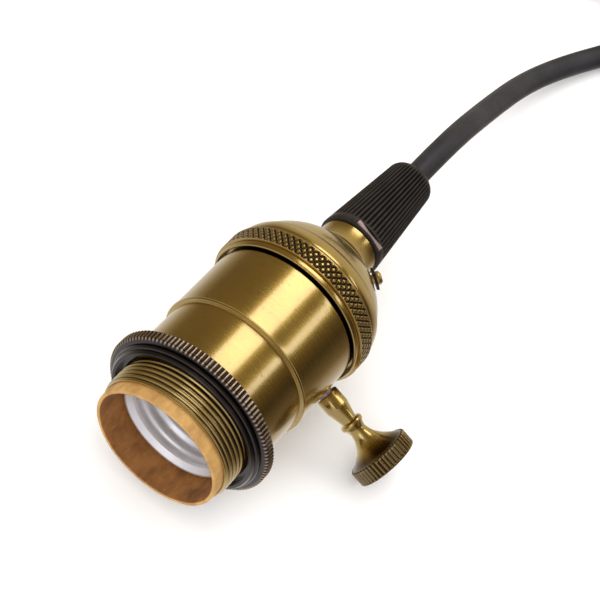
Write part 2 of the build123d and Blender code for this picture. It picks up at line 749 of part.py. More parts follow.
CENTRE_X = GRIP_X[1] / 2
CENTRE_Y = (RING_R - lowest_knob_reach()) / 2
SET_DOWN = Pos(-CENTRE_X, -CENTRE_Y, AXIS_Z) * Rot(X=KNOB_TILT)
SET_CORD = Pos(-CENTRE_X, -CENTRE_Y, 0)

HOLDER_PARTS = [
    insulating_liner, outer_shell, shade_ring, screw_shell, shell_rivets, lamp_base, switch_housing,
    switch_cover, carrier_plate, assembly_screws, live_contact, load_contact, neutral_contact,
    terminal_screws, centre_contact, switch_rotor, bridging_contact, detent_spring, switch_shaft,
    turn_knob, cap, clamp_ring, earth_washer, earth_screw, cord_grip, grip_lock_plate, cord_in_grip,
    live_core, neutral_core, earth_core,
]
CORD_PARTS = [cord_tube, cord_coil, coil_tie, core_ferrules]
END_CORES = ("end_core_live", "end_core_neutral", "end_core_earth")


def main():
    """Writes one STEP file for each named piece."""
    os.makedirs("parts", exist_ok=True)
    pieces = {make.__name__: SET_DOWN * make() for make in HOLDER_PARTS}
    pieces.update({make.__name__: SET_CORD * make() for make in CORD_PARTS})
    pieces.update({name: SET_CORD * end_core(index) for index, name in enumerate(END_CORES)})
    for name, piece in pieces.items():
        export_step(piece, f"parts/{name}.step")
    print("socket axis at y", round(-CENTRE_Y, 4), "mouth at x", round(-CENTRE_X, 4), "height", AXIS_Z)


main()
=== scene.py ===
"""Looks of a brass E27 lampholder with a rotary turn-knob switch, shade ring, cord grip and flex.

Metres, in the row frame: +X runs from the lamp mouth to the cord, +Z is up. Turned pieces are
drawn as (distance along their own axis, radius) outlines and spun, with the threads, knurls and
ribs as a relief in the radius. Each mesh carries a "recess" attribute, 1 in a groove and 0 on
a crest, which its material reads for patina and wear, and on some pieces for painted shade: the
shell's necked end, the clamp ring's underside, the cap's crease, the liner's bore and the grip's
rib grooves are painted dark as shade through it.
"""

import json
from math import cos, pi, radians, sin, tan

import bmesh
import bpy
import numpy as np
from mathutils import Matrix, Vector


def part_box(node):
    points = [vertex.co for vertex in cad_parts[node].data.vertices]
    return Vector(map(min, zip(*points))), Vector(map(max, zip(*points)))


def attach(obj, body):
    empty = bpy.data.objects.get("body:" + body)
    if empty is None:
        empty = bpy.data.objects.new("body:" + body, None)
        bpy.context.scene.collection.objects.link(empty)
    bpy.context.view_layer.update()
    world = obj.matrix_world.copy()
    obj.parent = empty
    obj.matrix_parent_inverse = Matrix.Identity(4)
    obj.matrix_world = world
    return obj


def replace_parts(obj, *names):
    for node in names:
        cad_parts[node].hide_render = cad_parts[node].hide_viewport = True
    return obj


MM = 0.001

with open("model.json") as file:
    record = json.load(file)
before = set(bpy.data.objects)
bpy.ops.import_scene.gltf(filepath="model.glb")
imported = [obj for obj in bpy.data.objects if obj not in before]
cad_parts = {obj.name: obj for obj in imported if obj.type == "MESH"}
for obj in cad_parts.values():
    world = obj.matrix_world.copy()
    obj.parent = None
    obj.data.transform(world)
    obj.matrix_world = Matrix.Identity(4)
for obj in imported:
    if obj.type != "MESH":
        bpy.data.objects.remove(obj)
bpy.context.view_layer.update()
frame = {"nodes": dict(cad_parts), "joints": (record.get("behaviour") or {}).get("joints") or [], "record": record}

# ---- places, from the frame -------------------------------------------------------------
LINER_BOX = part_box("insulating_liner")
MOUTH_X = LINER_BOX[0].x
AXIS_Y = (LINER_BOX[0].y + LINER_BOX[1].y) / 2
AXIS_Z = (LINER_BOX[0].z + LINER_BOX[1].z) / 2
AXIS = Matrix.Translation((MOUTH_X, AXIS_Y, AXIS_Z))

KNOB_JOINT = next(joint for joint in frame["joints"] if joint["name"] == "knob_turn")
KNOB_DIRECTION = Vector(KNOB_JOINT["axis"]).normalized()
KNOB_ATTITUDE = KNOB_DIRECTION.to_track_quat("X", "Z").to_matrix().to_4x4()
KNOB_PLACE = Matrix.Translation(KNOB_JOINT["pos_m"]) @ KNOB_ATTITUDE
KNOB_X = (KNOB_JOINT["pos_m"][0] - MOUTH_X) / MM

# ---- sizes, in millimetres, from the mouth and from the axis -----------------------------
LINER_R, LINER_BORE_R, LINER_END_X = 17.3, 16.3, 50.0
SHELL_MOUTH_X, SHOULDER_X, BEAD_X, UPPER_END_X, SHELL_END_X = 3.1, 15.1, 30.3, 50.0, 56.0
THREAD_PITCH, THREAD_R, THREAD_ROOT_R = 1.41, 18.25, 17.86
LOWER_R, UPPER_R, NECKED_R, SHEET = 19.65, 20.45, 19.9, 0.6
SLOT_W = 7.2
RING_R, RING_TEETH = 23.28, 120
CORD_R = 3.25
NECK_R, NECK_END_X = 8.25, 79.3
GRIP_START, GRIP_END, GRIP_BASE_R, GRIP_TIP_R = 79.5, 109.2, 8.9, 6.6

# ---- camera ------------------------------------------------------------------------------
AIM = Vector((0.00287, 0.01004, 0.02318))
CAMERA_DISTANCE = 0.49279
CAMERA_TURN, CAMERA_DROP, CAMERA_ROLL = 17.86, 54.63, 22.13
LENS, SENSOR = 120.0, 36.0

# ---- cord --------------------------------------------------------------------------------
COIL_CENTRE = (0.266, 0.017)
TURN_R = (0.032, 0.0385)
COIL_Z = (0.00405, 0.01055)
ENTRY_Y = COIL_CENTRE[1] - TURN_R[1]
CORD_ROUTE = [                # x from the mouth, y from the socket axis, z above the surface
    (0.1092, 0.0, 0.02328),
    (0.126, 0.0, 0.02328),
    (0.149, 0.0002, 0.0156),
    (0.172, -0.0006, 0.0086),
    (0.190, -0.0048, 0.0046),
    (0.206, -0.0120, 0.0035),
    (0.224, ENTRY_Y, COIL_Z[0]),
    (0.243, ENTRY_Y, COIL_Z[0]),
]
ENTRY_TURN = 270.0
COIL_STEP = 22.5
COIL_SWEEP = 1378.0


# ---- camera and cord ---------------------------------------------------------------------
def place_camera():
    """Camera at the photograph's angle."""
    data = bpy.data.cameras.new("camera")
    data.lens, data.sensor_width = LENS, SENSOR
    camera = bpy.data.objects.new("camera", data)
    bpy.context.scene.collection.objects.link(camera)
    attitude = (
        Matrix.Rotation(radians(CAMERA_TURN - 90), 4, "Z")
        @ Matrix.Rotation(radians(90 - CAMERA_DROP), 4, "X")
        @ Matrix.Rotation(radians(CAMERA_ROLL), 4, "Z")
    )
    back = attitude @ Vector((0, 0, 1))
    camera.matrix_world = Matrix.Translation(AIM + back * CAMERA_DISTANCE) @ attitude
    bpy.context.scene.camera = camera


def cord_place(x, y, z):
    """A point given from the mouth, from the axis and above the surface, in the row frame."""
    return Vector((MOUTH_X + x, AXIS_Y + y, z))


def on_coil(turn, radius, z):
    """Point at an angle and a radius about the coil's centre."""
    angle = radians(turn)
    return cord_place(COIL_CENTRE[0] + radius * cos(angle), COIL_CENTRE[1] + radius * sin(angle), z)


def ease(value, low, high):
    """0 below low, 1 above high, and a smooth step between."""
    share = min(max((value - low) / (high - low), 0.0), 1.0)
    return share * share * (3 - 2 * share)


def coil_radius(swept):
    """Radius of the turn that the cord is in: out, in, up, in, then out again."""
    inward = ease(swept, 300, 360) - ease(swept, 1020, 1080)
    return TURN_R[1] + (TURN_R[0] - TURN_R[1]) * inward


def coil_points():
    """The coil's turns, as points outside the line by what the spline cuts off."""
    spread = 1 / cos(radians(COIL_STEP / 2))
    points = []
    for step in range(1, int(COIL_SWEEP / COIL_STEP) + 1):
        swept = step * COIL_STEP
        z = COIL_Z[0] + (COIL_Z[1] - COIL_Z[0]) * ease(swept, 620, 690)
        points.append(on_coil(ENTRY_TURN + swept, coil_radius(swept) * spread, z))
    points.append(on_coil(ENTRY_TURN + COIL_SWEEP, coil_radius(COIL_SWEEP), COIL_Z[1]))
    return points


def spline_piece(name, points, radius, material):
    """Round cord or core along a smooth curve, riding on the holder."""
    curve = bpy.data.curves.new(name, "CURVE")
    curve.dimensions = "3D"
    curve.bevel_depth = radius
    curve.bevel_resolution = 7
    curve.resolution_u = 10
    curve.use_fill_caps = True
    spline = curve.splines.new("NURBS")
    spline.points.add(len(points) - 1)
    for control, point in zip(spline.points, points):
        control.co = (*point, 1.0)
    spline.order_u = 3
    spline.use_endpoint_u = True
    piece = bpy.data.objects.new(name, curve)
    bpy.context.scene.collection.objects.link(piece)
    curve.materials.append(material)
    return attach(piece, "holder")


# ---- mesh helpers ------------------------------------------------------------------------
def corners(*points):
    """Plain corners of an outline."""
    return [Vector(point) for point in points]


def arc(start, middle, end, steps=8):
    """Points of the arc through three points, without its last."""
    (ax, ay), (bx, by), (cx, cy) = start, middle, end
    d = 2 * (ax * (by - cy) + bx * (cy - ay) + cx * (ay - by))
    a2, b2, c2 = ax * ax + ay * ay, bx * bx + by * by, cx * cx + cy * cy
    centre = Vector((
        (a2 * (by - cy) + b2 * (cy - ay) + c2 * (ay - by)) / d,
        (a2 * (cx - bx) + b2 * (ax - cx) + c2 * (bx - ax)) / d,
    ))
    spokes = [Vector(point) - centre for point in (start, middle, end)]
    sweep = spokes[0].angle_signed(spokes[1]) + spokes[1].angle_signed(spokes[2])
    points = []
    for step in range(steps):
        turn = -sweep * step / steps
        x, y = spokes[0]
        points.append(centre + Vector((x * cos(turn) - y * sin(turn), x * sin(turn) + y * cos(turn))))
    return points


def rounded(*turns):
    """Closed outline from (x, radius, fillet) corners, with each corner eased by a short curve."""
    points = []
    count = len(turns)
    for i, (x, r, fillet) in enumerate(turns):
        at = Vector((x, r))
        before = Vector(turns[i - 1][:2]) - at
        after = Vector(turns[(i + 1) % count][:2]) - at
        if fillet <= 0:
            points.append(at)
            continue
        half = before.angle(after) / 2
        reach = min(fillet / tan(half), before.length * 0.49, after.length * 0.49)
        start, end = at + before.normalized() * reach, at + after.normalized() * reach
        steps = 4
        for step in range(steps + 1):
            t = step / steps
            points.append(start * (1 - t) ** 2 + at * 2 * t * (1 - t) + end * t ** 2)
    return points


def spaced(points, longest, window=None):
    """The same outline with no step longer than this, or only where x and radius are in a window."""
    out = []
    for start, end in zip(points, points[1:] + points[:1]):
        middle = (start + end) / 2
        low, high, above = window or (-1e9, 1e9, -1e9)
        inside = low < middle.x < high and middle.y > above
        steps = max(1, int((end - start).length / longest + 0.999)) if inside else 1
        out += [start.lerp(end, step / steps) for step in range(steps)]
    return out


def spin(name, outline, columns, relief=None, closed=True, place=AXIS, sharp=40):
    """Mesh of revolution about the local X axis, from an outline in millimetres."""
    x = np.array([[point[0]] for point in outline])
    r = np.array([[point[1]] for point in outline])
    turn = np.linspace(0, 2 * pi, columns, endpoint=False)[None, :]
    lift, recess = relief(x, r, turn) if relief else (0.0, 0.0)
    radius = np.maximum(r + lift * np.ones_like(turn), 0.0)
    recess = recess * np.ones_like(radius)
    vertices, shades, rings = [], [], []
    for row in range(len(outline)):
        if outline[row][1] < 1e-6:
            rings.append([len(vertices)] * columns)
            vertices.append((x[row, 0] * MM, 0.0, 0.0))
            shades.append(0.0)
            continue
        rings.append(list(range(len(vertices), len(vertices) + columns)))
        ys, zs = radius[row] * np.cos(turn[0]) * MM, radius[row] * np.sin(turn[0]) * MM
        vertices += [(x[row, 0] * MM, y, z) for y, z in zip(ys, zs)]
        shades += list(recess[row])
    faces = []
    for ring, after in zip(rings, rings[1:] + (rings[:1] if closed else [])):
        for column in range(columns):
            beside = (column + 1) % columns
            loop = (ring[column], ring[beside], after[beside], after[column])
            faces.append(list(dict.fromkeys(loop)))
    mesh = bpy.data.meshes.new(name)
    mesh.from_pydata(vertices, [], faces)
    mesh.attributes.new("recess", "FLOAT", "POINT").data.foreach_set("value", np.array(shades, np.float32))
    return finished(name, mesh, place, sharp)


def finished(name, mesh, place, sharp):
    """Object from a mesh, with outward faces, smooth shading and sharp creases."""
    mesh.transform(place)
    shape = bmesh.new()
    shape.from_mesh(mesh)
    bmesh.ops.recalc_face_normals(shape, faces=shape.faces)
    shape.to_mesh(mesh)
    shape.free()
    mesh.shade_smooth()
    mesh.set_sharp_from_angle(angle=radians(sharp))
    piece = bpy.data.objects.new(name, mesh)
    bpy.context.scene.collection.objects.link(piece)
    return piece


def applied(piece):
    """Applies the piece's modifiers to its mesh."""
    graph = bpy.context.evaluated_depsgraph_get()
    mesh = bpy.data.meshes.new_from_object(piece.evaluated_get(graph))
    piece.modifiers.clear()
    piece.data = mesh
    return piece


def cut(piece, *cutters, sharp=40):
    """Takes the cutters out of a piece, and removes them."""
    for cutter in cutters:
        change = piece.modifiers.new("cut", "BOOLEAN")
        change.operation = "DIFFERENCE"
        change.solver = "EXACT"
        change.object = cutter
    applied(piece)
    for cutter in cutters:
        bpy.data.objects.remove(cutter)
    piece.data.set_sharp_from_angle(angle=radians(sharp))
    return piece


def box_piece(name, low, high, place, bevel=0.0):
    """Box between two corners in millimetres, with rounded edges if bevel is given."""
    shape = bmesh.new()
    bmesh.ops.create_cube(shape, size=1.0)
    low, high = Vector(low) * MM, Vector(high) * MM
    middle, size = (low + high) / 2, high - low
    bmesh.ops.scale(shape, vec=size, verts=shape.verts)
    bmesh.ops.translate(shape, vec=middle, verts=shape.verts)
    if bevel:
        bmesh.ops.bevel(shape, geom=shape.edges, offset=bevel * MM, segments=3, profile=0.5, affect="EDGES")
    mesh = bpy.data.meshes.new(name)
    shape.to_mesh(mesh)
    shape.free()
    return finished(name, mesh, place, 40)


def dress(piece, material, slot, body, *nodes):
    """Gives a piece its material, its body and the CAD nodes it stands for. The slot argument is not used."""
    piece.data.materials.clear()
    piece.data.materials.append(material)
    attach(piece, body)
    if nodes:
        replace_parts(piece, *nodes)
    return piece


# ---- material helpers --------------------------------------------------------------------
def new_material(name):
    """New node material: (material, its node tree, its main shader)."""
    material = bpy.data.materials.new(name)
    material.use_nodes = True
    tree = material.node_tree
    return material, tree, tree.nodes["Principled BSDF"]


def coordinates(tree, scale, turned=None):
    """Object coordinates, stretched by a scale for each axis and turned by a matrix."""
    source = tree.nodes.new("ShaderNodeTexCoord").outputs["Object"]
    mapping = tree.nodes.new("ShaderNodeMapping")
    mapping.vector_type = "POINT"
    if turned is not None:
        mapping.inputs["Rotation"].default_value = turned.to_euler()
        tree.links.new(source, mapping.inputs["Vector"])
        source = mapping.outputs["Vector"]
        mapping = tree.nodes.new("ShaderNodeMapping")
    mapping.inputs["Scale"].default_value = scale
    tree.links.new(source, mapping.inputs["Vector"])
    return mapping.outputs["Vector"]


def noise(tree, vector, detail=3.0, roughness=0.5):
    """Noise value at a place."""
    node = tree.nodes.new("ShaderNodeTexNoise")
    node.inputs["Scale"].default_value = 1.0
    node.inputs["Detail"].default_value = detail
    node.inputs["Roughness"].default_value = roughness
    tree.links.new(vector, node.inputs["Vector"])
    return node.outputs["Fac"]


def ramp(tree, value, *stops):
    """Colour ramp of (position, (r, g, b)) stops."""
    node = tree.nodes.new("ShaderNodeValToRGB")
    while len(node.color_ramp.elements) < len(stops):
        node.color_ramp.elements.new(1.0)
    for element, (position, colour) in zip(node.color_ramp.elements, stops):
        element.position = position
        element.color = (*colour, 1.0)
    tree.links.new(value, node.inputs["Fac"])
    return node.outputs["Color"]


def between(tree, value, low, high, from_low=0.0, from_high=1.0):
    """Value mapped from one range to another, and held inside it."""
    node = tree.nodes.new("ShaderNodeMapRange")
    node.inputs["From Min"].default_value = from_low
    node.inputs["From Max"].default_value = from_high
    node.inputs["To Min"].default_value = low
    node.inputs["To Max"].default_value = high
    tree.links.new(value, node.inputs["Value"])
    return node.outputs["Result"]


def blended(tree, share, first, second):
    """Two colours mixed by a share; a colour is an output or three numbers."""
    node = tree.nodes.new("ShaderNodeMix")
    node.data_type = "RGBA"
    for value, socket in ((share, node.inputs[0]), (first, node.inputs[6]), (second, node.inputs[7])):
        if isinstance(value, bpy.types.NodeSocket):
            tree.links.new(value, socket)
        elif isinstance(value, tuple):
            socket.default_value = (*value, 1.0)
        else:
            socket.default_value = value
    return node.outputs[2]


def sums(tree, operation, first, second):
    """Math node of two values."""
    node = tree.nodes.new("ShaderNodeMath")
    node.operation = operation
    for value, socket in ((first, node.inputs[0]), (second, node.inputs[1])):
        if isinstance(value, bpy.types.NodeSocket):
            tree.links.new(value, socket)
        else:
            socket.default_value = value
    return node.outputs[0]


def recess_value(tree):
    """The mesh's recess attribute."""
    node = tree.nodes.new("ShaderNodeAttribute")
    node.attribute_name = "recess"
    return node.outputs["Fac"]


def bump(tree, shader, height, distance, strength=1.0):
    """Bump on a shader, with its height in metres at full value."""
    node = tree.nodes.new("ShaderNodeBump")
    node.inputs["Distance"].default_value = distance
    node.inputs["Strength"].default_value = strength
    tree.links.new(height, node.inputs["Height"])
    tree.links.new(node.outputs["Normal"], shader.inputs["Normal"])


# ---- materials ---------------------------------------------------------------------------
AROUND_X = (7000.0, 40.0, 40.0)      # fine lines round the socket axis, per metre


def brass(name, turned=None):
    """Antique brass under lacquer: fine turning lines, faint mottling, patina in the recesses, and painted shade
    where a piece marks a gap or crease as recess.
    """
    bright, dark = (0.56, 0.375, 0.064), (0.060, 0.040, 0.028)
    material, tree, shader = new_material(name)
    lines = noise(tree, coordinates(tree, AROUND_X, turned), detail=2.0)
    cloud = noise(tree, coordinates(tree, (90.0, 90.0, 90.0)), detail=4.0, roughness=0.6)
    specks = noise(tree, coordinates(tree, (900.0, 900.0, 900.0)), detail=2.0)
    body = ramp(tree, cloud, (0.30, tuple(c * 0.86 for c in bright)), (0.62, bright))
    speck_share = between(tree, specks, 0.0, 0.3, 0.64, 0.74)
    spotted = blended(tree, speck_share, body, dark)
    # Darkened by the recess attribute: patina in thread roots and knurl grooves, and painted shade on the shell's
    # necked end, the clamp ring's underside and the cap's crease.
    patina = blended(tree, recess_value(tree), spotted, dark)
    tree.links.new(patina, shader.inputs["Base Color"])
    shader.inputs["Metallic"].default_value = 1.0
    tree.links.new(between(tree, lines, 0.23, 0.28, 0.3, 0.7), shader.inputs["Roughness"])
    coat = between(tree, recess_value(tree), 0.8, 0.1)
    tree.links.new(coat, shader.inputs["Coat Weight"])
    shader.inputs["Coat IOR"].default_value = 2.1
    shader.inputs["Coat Roughness"].default_value = 0.14
    bump(tree, shader, lines, 0.0000003)
    return material


def dark_bronze(name, turned=None):
    """Near-black bronze plating, worn to warm grey on the crests of its teeth."""
    material, tree, shader = new_material(name)
    cloud = noise(tree, coordinates(tree, (160.0, 160.0, 160.0)), detail=4.0)
    lines = noise(tree, coordinates(tree, AROUND_X, turned), detail=2.0)
    body = ramp(tree, cloud, (0.3, (0.034, 0.027, 0.027)), (0.7, (0.062, 0.050, 0.048)))
    recess = recess_value(tree)
    worn = blended(tree, between(tree, recess, 0.0, 1.0, 0.0, 0.5), (0.60, 0.44, 0.30), body)
    colour = blended(tree, between(tree, recess, 0.0, 1.0, 0.5, 0.9), worn, (0.020, 0.014, 0.012))
    tree.links.new(colour, shader.inputs["Base Color"])
    shader.inputs["Metallic"].default_value = 1.0
    tree.links.new(between(tree, lines, 0.20, 0.32, 0.3, 0.7), shader.inputs["Roughness"])
    shader.inputs["Coat Weight"].default_value = 0.5
    shader.inputs["Coat Roughness"].default_value = 0.12
    bump(tree, shader, lines, 0.0000015)
    return material


def fibre(name):
    """Vulcanised fibre: tan outside, mottled, with faint scratches, and browner in the bore as painted shade."""
    material, tree, shader = new_material(name)
    cloud = noise(tree, coordinates(tree, (150.0, 220.0, 220.0)), detail=6.0, roughness=0.65)
    strands = noise(tree, coordinates(tree, (2600.0, 300.0, 300.0)), detail=3.0)
    scratch = noise(tree, coordinates(tree, (500.0, 1900.0, 700.0)), detail=2.0)
    outside = ramp(tree, cloud, (0.36, (0.32, 0.165, 0.042)), (0.64, (0.52, 0.30, 0.088)))
    # Painted shade: a darker copy of the fibre's colours for the bore.
    inside = ramp(tree, cloud, (0.36, (0.15, 0.055, 0.010)), (0.64, (0.32, 0.130, 0.030)))
    base = blended(tree, recess_value(tree), outside, inside)
    lined = blended(tree, between(tree, scratch, 0.0, 0.35, 0.62, 0.72), base, (0.40, 0.24, 0.10))
    tree.links.new(lined, shader.inputs["Base Color"])
    tree.links.new(between(tree, cloud, 0.50, 0.75), shader.inputs["Roughness"])
    bump(tree, shader, sums(tree, "ADD", strands, cloud), 0.00003)
    return material


def aluminium(name):
    """Bright rolled aluminium sheet, slightly streaked round the axis."""
    material, tree, shader = new_material(name)
    lines = noise(tree, coordinates(tree, AROUND_X), detail=2.0)
    cloud = noise(tree, coordinates(tree, (200.0, 200.0, 200.0)), detail=3.0)
    colour = ramp(tree, cloud, (0.3, (0.80, 0.79, 0.81)), (0.7, (0.92, 0.91, 0.92)))
    shaded = blended(tree, recess_value(tree), colour, (0.16, 0.15, 0.16))
    tree.links.new(shaded, shader.inputs["Base Color"])
    shader.inputs["Metallic"].default_value = 0.8
    tree.links.new(between(tree, lines, 0.32, 0.40, 0.3, 0.7), shader.inputs["Roughness"])
    bump(tree, shader, lines, 0.0000006)
    return material


def plain_metal(name, low, high, roughness):
    """Small metal parts: slightly clouded colour, and fine grain."""
    material, tree, shader = new_material(name)
    cloud = noise(tree, coordinates(tree, (300.0, 300.0, 300.0)), detail=4.0)
    grain = noise(tree, coordinates(tree, (4000.0, 4000.0, 4000.0)), detail=2.0)
    tree.links.new(ramp(tree, cloud, (0.3, low), (0.7, high)), shader.inputs["Base Color"])
    shader.inputs["Metallic"].default_value = 1.0
    tree.links.new(between(tree, cloud, *roughness), shader.inputs["Roughness"])
    bump(tree, shader, grain, 0.000004)
    return material


def moulded(name, low, high, roughness, grain_height=0.00001, coat=0.0, specular=0.5):
    """Moulded plastic, phenolic or porcelain: faint clouds and a fine grain, and painted shade that makes grooves
    dark and less glossy.
    """
    material, tree, shader = new_material(name)
    cloud = noise(tree, coordinates(tree, (260.0, 260.0, 260.0)), detail=5.0)
    grain = noise(tree, coordinates(tree, (3000.0, 3000.0, 3000.0)), detail=3.0)
    body = ramp(tree, cloud, (0.3, low), (0.7, high))
    # Painted shade: the grooves darkened to a fraction of the low colour.
    groove_painted_shade = tuple(value * 0.15 for value in low)
    tree.links.new(blended(tree, recess_value(tree), body, groove_painted_shade), shader.inputs["Base Color"])
    tree.links.new(between(tree, grain, *roughness, 0.3, 0.7), shader.inputs["Roughness"])
    level = between(tree, recess_value(tree), specular, specular * 0.1, 0.0, 0.8)
    tree.links.new(level, shader.inputs["Specular IOR Level"])
    shader.inputs["Coat Weight"].default_value = coat
    bump(tree, shader, grain, grain_height)
    return material


def striped_core(name):
    """Green core insulation with a yellow stripe."""
    material, tree, shader = new_material(name)
    height = noise(tree, coordinates(tree, (120.0, 120.0, 500.0)), detail=0.0)
    share = between(tree, height, 0.0, 1.0, 0.47, 0.50)
    colour = blended(tree, share, (0.03, 0.22, 0.05), (0.72, 0.60, 0.05))
    tree.links.new(colour, shader.inputs["Base Color"])
    shader.inputs["Roughness"].default_value = 0.4
    grain = noise(tree, coordinates(tree, (3000.0, 3000.0, 3000.0)))
    bump(tree, shader, grain, 0.00001)
    return material


def woven(name):
    """Black hook-and-loop strap: tiny loops standing off a weave."""
    material, tree, shader = new_material(name)
    loops = noise(tree, coordinates(tree, (2600.0, 2600.0, 2600.0)), detail=4.0, roughness=0.7)
    colour = ramp(tree, loops, (0.3, (0.006, 0.006, 0.007)), (0.75, (0.05, 0.05, 0.055)))
    tree.links.new(colour, shader.inputs["Base Color"])
    shader.inputs["Roughness"].default_value = 0.95
    shader.inputs["Sheen Weight"].default_value = 0.4
    bump(tree, shader, loops, 0.0002)
    return material


def sheath(name):
    """Blue-black PVC cord sheath, semi-matt, with faint scuffs."""
    material, tree, shader = new_material(name)
    cloud = noise(tree, coordinates(tree, (120.0, 120.0, 120.0)), detail=6.0, roughness=0.6)
    grain = noise(tree, coordinates(tree, (1800.0, 1800.0, 1800.0)), detail=3.0)
    colour = ramp(tree, cloud, (0.3, (0.010, 0.010, 0.013)), (0.75, (0.026, 0.026, 0.034)))
    tree.links.new(colour, shader.inputs["Base Color"])
    tree.links.new(between(tree, grain, 0.36, 0.52, 0.3, 0.7), shader.inputs["Roughness"])
    bump(tree, shader, grain, 0.00002)
    return material


ON_KNOB = KNOB_PLACE.to_3x3().transposed()
BRASS = brass("antique_brass")
KNOB_BRASS = brass("knob_brass", ON_KNOB)
BRONZE = dark_bronze("dark_bronze")
FIBRE = fibre("vulcanised_fibre")
ALUMINIUM = aluminium("aluminium_sheet")
CONTACT = plain_metal("contact_brass", (0.58, 0.42, 0.16), (0.74, 0.58, 0.26), (0.22, 0.38))
ZINC = plain_metal("zinc_plate", (0.62, 0.48, 0.50), (0.76, 0.61, 0.62), (0.45, 0.60))
BLACKENED = plain_metal("blackened_steel", (0.05, 0.042, 0.036), (0.10, 0.085, 0.07), (0.32, 0.50))
PORCELAIN = moulded("porcelain", (0.74, 0.73, 0.69), (0.82, 0.81, 0.78), (0.12, 0.22), 0.000004, 0.4)
PHENOLIC = moulded("black_phenolic", (0.010, 0.009, 0.009), (0.022, 0.020, 0.019), (0.35, 0.5))
GRIP = moulded(
    "grip_nylon", (0.010, 0.0075, 0.0065), (0.022, 0.017, 0.015), (0.34, 0.52),
    grain_height=0.00003, specular=0.42,
)
SHEATH = sheath("cord_sheath")
STRAP = woven("tie_strap")
BROWN = moulded("core_brown", (0.10, 0.035, 0.012), (0.14, 0.055, 0.02), (0.3, 0.45))
BLUE = moulded("core_blue", (0.02, 0.07, 0.30), (0.04, 0.11, 0.40), (0.3, 0.45))
STRIPED = striped_core("core_green_yellow")


# ---- cord pieces -------------------------------------------------------------------------
CORE_R = 1.15 * MM
CORE_PLACES = ((-1.2 * MM, 0.0), (1.2 * MM, 0.0), (0.0, 2.08 * MM))
CORE_ENDS = (16.5, 27.0, 22.5)
COIL_OPEN = 62.0


def end_core(name, index, material):
    """One stripped core, lying on the coil past the sheath's end."""
    aside, above = CORE_PLACES[index]
    radius = TURN_R[1] + aside
    z = COIL_Z[0] + CORD_R * MM + CORE_R + above
    first, last = ENTRY_TURN - COIL_OPEN, ENTRY_TURN - CORE_ENDS[index]
    steps = 5
    spread = 1 / cos(radians((last - first) / steps / 2))
    turns = [first + (last - first) * step / steps for step in range(steps + 1)]
    reaches = [radius] + [radius * spread] * (steps - 1) + [radius]
    points = [on_coil(turn, reach, z) for turn, reach in zip(turns, reaches)]
    piece = spline_piece("made_" + name, points, CORE_R, material)
    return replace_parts(piece, name)


def coil_tie():
    """Strap round the coil's bundle: a closed band with rounded corners."""
    inner, outer = TURN_R[0] - CORD_R * MM, TURN_R[1] + CORD_R * MM
    low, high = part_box("coil_tie")[0].z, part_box("coil_tie")[1].z
    thick, wide, corner, steps = 0.8 * MM, 4.5 * MM, 2.6 * MM, 8
    half_w, half_h = (outer - inner) / 2 + thick, (high - low) / 2
    loop = []
    for quarter, (across, up) in enumerate(((1, 1), (-1, 1), (-1, -1), (1, -1))):
        for step in range(steps + 1):
            angle = (quarter + step / steps) * pi / 2
            loop.append((
                across * (half_w - corner) + corner * cos(angle),
                up * (half_h - corner) + corner * sin(angle), cos(angle), sin(angle),
            ))
    mesh = bpy.data.meshes.new("made_coil_tie")
    vertices, faces, count = [], [], len(loop)
    section = ((-wide / 2, 0.0), (wide / 2, 0.0), (wide / 2, -thick), (-wide / 2, -thick))
    for across, up, nx, nz in loop:
        vertices += [(across + nx * depth, along, up + nz * depth) for along, depth in section]
    for i in range(count):
        for k in range(4):
            after, beside = (i + 1) % count, (k + 1) % 4
            faces.append((4 * i + k, 4 * i + beside, 4 * after + beside, 4 * after + k))
    mesh.from_pydata(vertices, [], faces)
    centre = cord_place(*COIL_CENTRE, (low + high) / 2)
    place = (
        Matrix.Translation(centre) @ Matrix.Rotation(radians(60), 4, "Z")
        @ Matrix.Translation(((inner + outer) / 2, 0, 0))
    )
    return dress(finished("made_coil_tie", mesh, place, 40), STRAP, "tie_fabric", "holder", "coil_tie")


def make_cord():
    """The free cord in one spline from the grip to the coil's end, and the pieces on it."""
    points = [cord_place(*point) for point in CORD_ROUTE] + coil_points()
    flex = spline_piece("flex", points, CORD_R * MM, SHEATH)
    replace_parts(flex, "cord_tube", "cord_coil")
    pieces = [
        end_core("end_core_live", 0, BROWN),
        end_core("end_core_neutral", 1, BLUE),
        end_core("end_core_earth", 2, STRIPED),
        coil_tie(),
        frame["nodes"]["core_ferrules"],
    ]


# ---- turned brass ------------------------------------------------------------------------
def groove(value, width):
    """1 at whole values and falling to 0 at width, as a rounded notch."""
    off = np.abs(value - np.round(value)) / width
    return np.clip(1 - off, 0, 1) ** 2 * (1 + 2 * np.clip(off, 0, 1))


def step_up(value, low, high):
    """Smooth step of an array from 0 at low to 1 at high."""
    share = np.clip((value - low) / (high - low), 0, 1)
    return share * share * (3 - 2 * share)


def shade_thread(x, r, turn):
    """The shell's relief: a rolled thread with narrow dark roots, and a necked end painted dark as the shade in
    the gap under the clamp ring.
    """
    on = (r > LINER_R + 0.3) * step_up(x, SHELL_MOUTH_X + 0.2, SHELL_MOUTH_X + 0.9)
    on = on * (1 - step_up(x, SHOULDER_X - 1.0, SHOULDER_X - 0.3)) * (x < SHOULDER_X)
    wave = 0.5 + 0.5 * np.cos(2 * pi * ((x - SHELL_MOUTH_X) / THREAD_PITCH - turn / (2 * pi)))
    crest = wave ** 0.7
    # Painted shade: the necked end, in the dark gap under the clamp ring's lip, is marked fully dark.
    necked = 1.0 * (x > UPPER_END_X + 0.2)
    roots = on * np.clip(1.15 - 2.2 * crest, 0, 1)
    return on * (THREAD_R - THREAD_ROOT_R) * crest, np.maximum(roots, necked)


